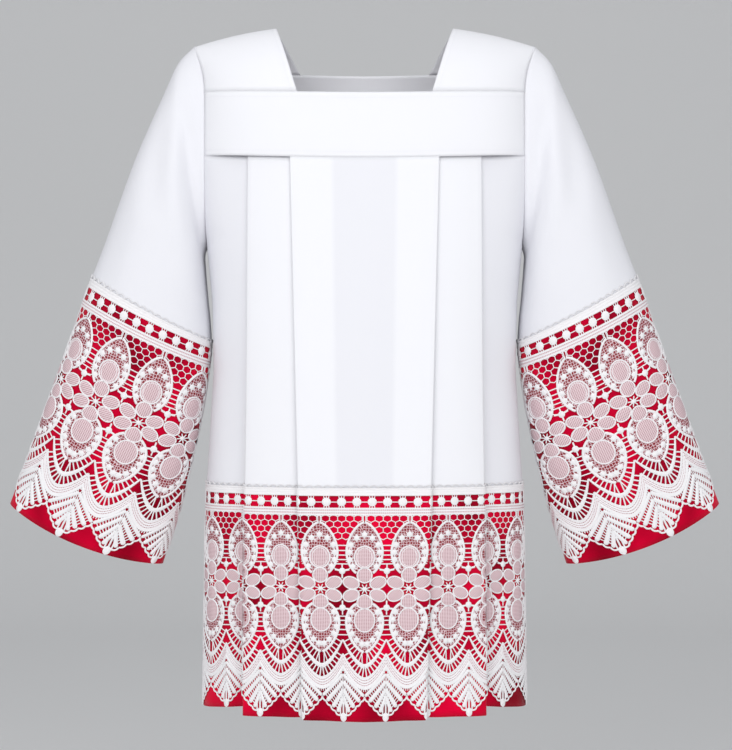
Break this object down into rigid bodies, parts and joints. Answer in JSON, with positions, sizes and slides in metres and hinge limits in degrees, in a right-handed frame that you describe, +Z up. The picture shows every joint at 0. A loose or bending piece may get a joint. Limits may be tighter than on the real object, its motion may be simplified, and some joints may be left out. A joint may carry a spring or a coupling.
{
  "type": "surplice",
  "caption": "Hollow white Roman-style surplice, filled out as when worn: square neck, yoke, pleated body, bell sleeves, white lace bands over red satin.",
  "frame": {"origin": "midway between the two neck points, where the neck opening meets the shoulder line and the wearer holds the garment up", "axes": "+Z up, -Y towards the front of the garment, +X towards the wearer's left sleeve"},
  "size_m": [1.0376, 0.2958, 0.9846],
  "materials": {
    "white_cloth": "matte plain weave",
    "red_satin": "satin sheen",
    "white_lace": "matte guipure lace thread"
  },
  "bodies": {
    "root": {"yoke_front": "white_cloth", "yoke_back": "white_cloth", "shoulder_left": "white_cloth", "shoulder_right": "white_cloth", "skirt_front": "white_cloth", "skirt_back": "white_cloth", "sleeve_left": "white_cloth", "sleeve_right": "white_cloth", "hem_satin_front": "red_satin", "hem_satin_back": "red_satin", "sleeve_satin_left": "red_satin", "sleeve_satin_right": "red_satin", "hem_lace_front": "white_lace", "hem_lace_back": "white_lace", "sleeve_lace_left": "white_lace", "sleeve_lace_right": "white_lace"}
  },
  "joints": []
}
